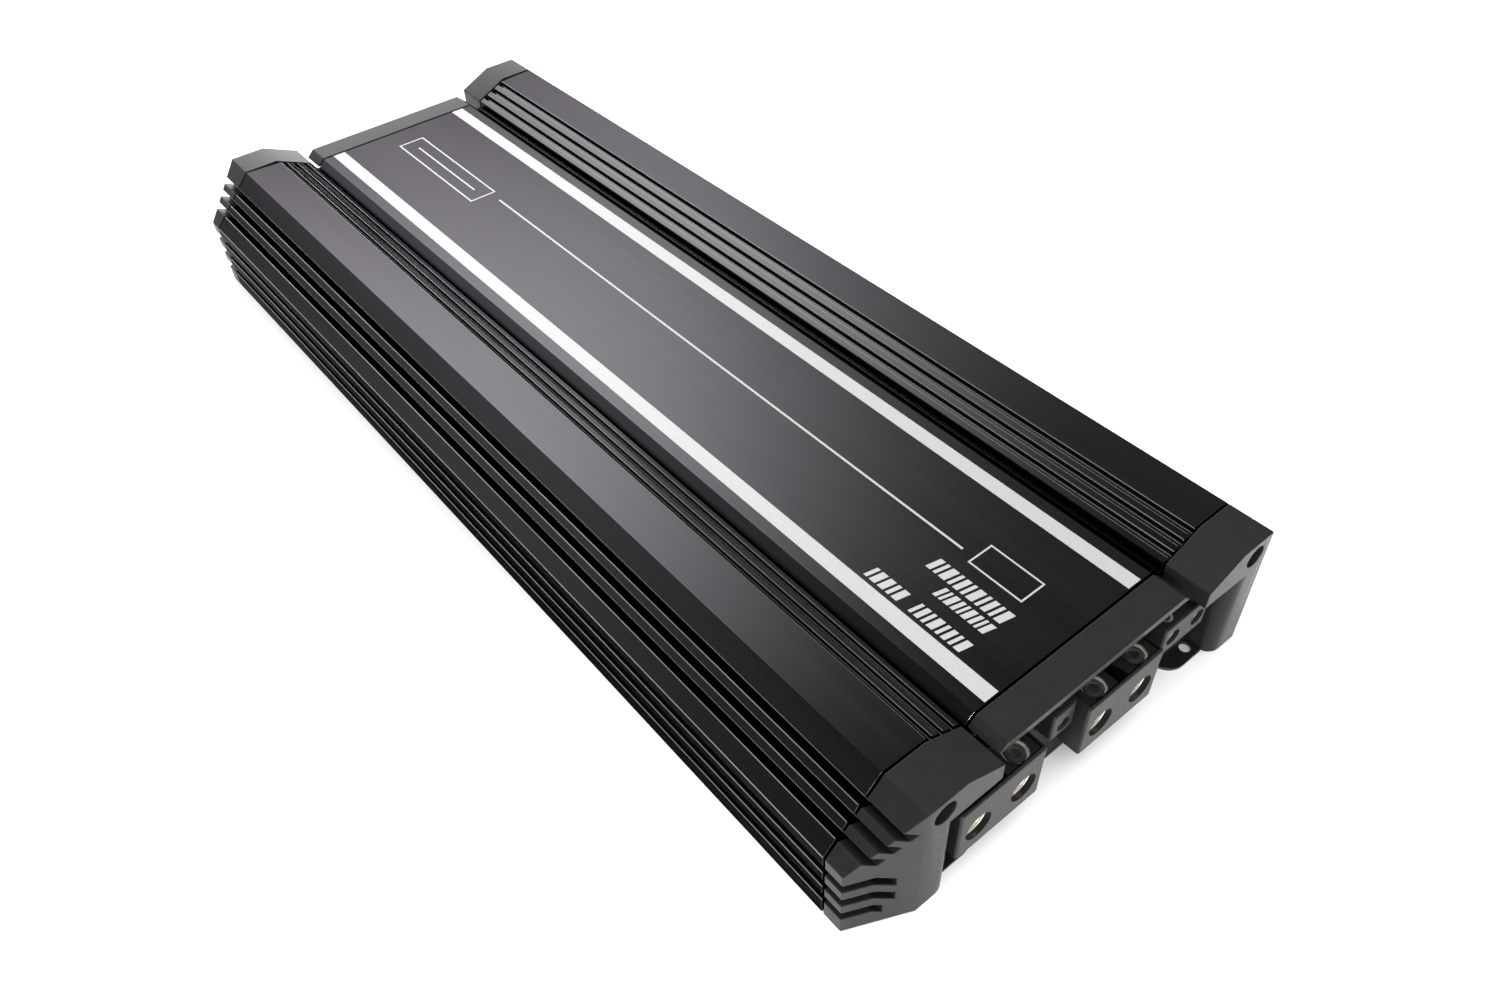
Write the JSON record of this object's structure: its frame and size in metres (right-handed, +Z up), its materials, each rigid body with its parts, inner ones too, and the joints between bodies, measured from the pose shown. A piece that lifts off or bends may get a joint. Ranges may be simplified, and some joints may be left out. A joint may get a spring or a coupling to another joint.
{
  "type": "car audio amplifier",
  "caption": "Long, low car audio power amplifier in a ribbed black heatsink extrusion, with corner end castings, cable terminals, rear controls and mounting tabs.",
  "frame": {"origin": "floor level under the middle of the object (centre of the bottom of the bounding box)", "axes": "+Y along the extrusion with the cable terminals at the -Y end, +X to the right seen from the terminal end, +Z up from the floor through the centre plate"},
  "size_m": [0.2434, 0.5688, 0.0656],
  "materials": {
    "anodised_body": "black anodised extrusion, satin, with fine lengthwise die lines",
    "pod_coating": "dark grey powder-coated casting, fine grain",
    "cover_steel": "black painted sheet steel, semi-matt",
    "panel_plastic": "black moulded plastic, matt",
    "terminal_plastic": "dark grey moulded plastic, fine texture",
    "nickel_barrel": "nickel-plated brass, bright",
    "set_screw": "bright zinc-plated steel",
    "black_screw": "black oxide steel",
    "knob_plastic": "black plastic, smooth",
    "control_plastic": "black moulded plastic",
    "switch_shell": "tinned steel",
    "led_lens": "clear tinted lens",
    "board": "green solder mask",
    "winding": "enamelled copper wire",
    "capacitor_sleeve": "shrink sleeve",
    "clamp_aluminium": "mill finish",
    "silver_print": "silver screen print, slightly sparkling"
  },
  "bodies": {
    "chassis": {"heatsink": "anodised_body", "bottom_cover": "cover_steel", "front_panel": "panel_plastic", "rear_panel": "panel_plastic", "front_visor": "pod_coating", "front_left_pod": "pod_coating", "front_left_pod_screw": "black_screw", "front_right_pod": "pod_coating", "front_right_pod_screw": "black_screw", "rear_visor": "pod_coating", "rear_left_pod": "pod_coating", "rear_left_pod_screw": "black_screw", "rear_right_pod": "pod_coating", "rear_right_pod_screw": "black_screw", "cover_screw_1": "black_screw", "cover_screw_2": "black_screw", "cover_screw_3": "black_screw", "cover_screw_4": "black_screw", "power_supply_terminal": "terminal_plastic", "power_supply_positive_barrel": "nickel_barrel", "power_supply_ground_barrel": "nickel_barrel", "remote_terminal": "terminal_plastic", "remote_turn_on_barrel": "nickel_barrel", "power_bridge_terminal": "terminal_plastic", "power_bridge_positive_barrel": "nickel_barrel", "power_bridge_ground_barrel": "nickel_barrel", "speaker_terminal": "terminal_plastic", "speaker_positive_barrel": "nickel_barrel", "speaker_negative_barrel": "nickel_barrel", "gain_pot": "control_plastic", "low_pass_pot": "control_plastic", "subsonic_pot": "control_plastic", "bass_boost_pot": "control_plastic", "rca_left": "nickel_barrel", "rca_right": "nickel_barrel", "phase_switch_housing": "switch_shell", "remote_level_port": "control_plastic", "status_led": "led_lens", "circuit_board": "board", "transformer_left": "winding", "clamp_bar_left": "clamp_aluminium", "transformer_right": "winding", "clamp_bar_right": "clamp_aluminium", "output_inductor": "winding", "capacitor_1": "capacitor_sleeve", "capacitor_2": "capacitor_sleeve", "capacitor_3": "capacitor_sleeve"},
    "power_supply_positive_screw": {"power_supply_positive_screw": "set_screw"},
    "power_supply_ground_screw": {"power_supply_ground_screw": "set_screw"},
    "remote_turn_on_screw": {"remote_turn_on_screw": "set_screw"},
    "power_bridge_positive_screw": {"power_bridge_positive_screw": "set_screw"},
    "power_bridge_ground_screw": {"power_bridge_ground_screw": "set_screw"},
    "speaker_positive_screw": {"speaker_positive_screw": "set_screw"},
    "speaker_negative_screw": {"speaker_negative_screw": "set_screw"},
    "gain_knob": {"gain_knob": "knob_plastic"},
    "low_pass_knob": {"low_pass_knob": "knob_plastic"},
    "subsonic_knob": {"subsonic_knob": "knob_plastic"},
    "bass_boost_knob": {"bass_boost_knob": "knob_plastic"},
    "phase_switch_slider": {"phase_switch_slider": "knob_plastic"}
  },
  "joints": [
    {"name": "power_supply_positive_screw_travel", "type": "slide", "parent": "chassis", "child": "power_supply_positive_screw", "axis": [0, 0, -1], "range_m": [0, 0.006]},
    {"name": "power_supply_ground_screw_travel", "type": "slide", "parent": "chassis", "child": "power_supply_ground_screw", "axis": [0, 0, -1], "range_m": [0, 0.006]},
    {"name": "remote_turn_on_screw_travel", "type": "slide", "parent": "chassis", "child": "remote_turn_on_screw", "axis": [0, 0, -1], "range_m": [0, 0.0024]},
    {"name": "power_bridge_positive_screw_travel", "type": "slide", "parent": "chassis", "child": "power_bridge_positive_screw", "axis": [0, 0, -1], "range_m": [0, 0.006]},
    {"name": "power_bridge_ground_screw_travel", "type": "slide", "parent": "chassis", "child": "power_bridge_ground_screw", "axis": [0, 0, -1], "range_m": [0, 0.006]},
    {"name": "speaker_positive_screw_travel", "type": "slide", "parent": "chassis", "child": "speaker_positive_screw", "axis": [0, 0, -1], "range_m": [0, 0.003]},
    {"name": "speaker_negative_screw_travel", "type": "slide", "parent": "chassis", "child": "speaker_negative_screw", "axis": [0, 0, -1], "range_m": [0, 0.003]},
    {"name": "gain_knob_turn", "type": "hinge", "parent": "chassis", "child": "gain_knob", "pos_m": [0.026, 0.26585, 0.026], "axis": [0, 1, 0], "range_deg": [-140, 140]},
    {"name": "low_pass_knob_turn", "type": "hinge", "parent": "chassis", "child": "low_pass_knob", "pos_m": [0.009, 0.26585, 0.026], "axis": [0, 1, 0], "range_deg": [-140, 140]},
    {"name": "subsonic_knob_turn", "type": "hinge", "parent": "chassis", "child": "subsonic_knob", "pos_m": [-0.008, 0.26585, 0.026], "axis": [0, 1, 0], "range_deg": [-140, 140]},
    {"name": "bass_boost_knob_turn", "type": "hinge", "parent": "chassis", "child": "bass_boost_knob", "pos_m": [-0.025, 0.26585, 0.026], "axis": [0, 1, 0], "range_deg": [-140, 140]},
    {"name": "phase_switch_throw", "type": "slide", "parent": "chassis", "child": "phase_switch_slider", "axis": [-1, 0, 0], "range_m": [0, 0.004]}
  ]
}
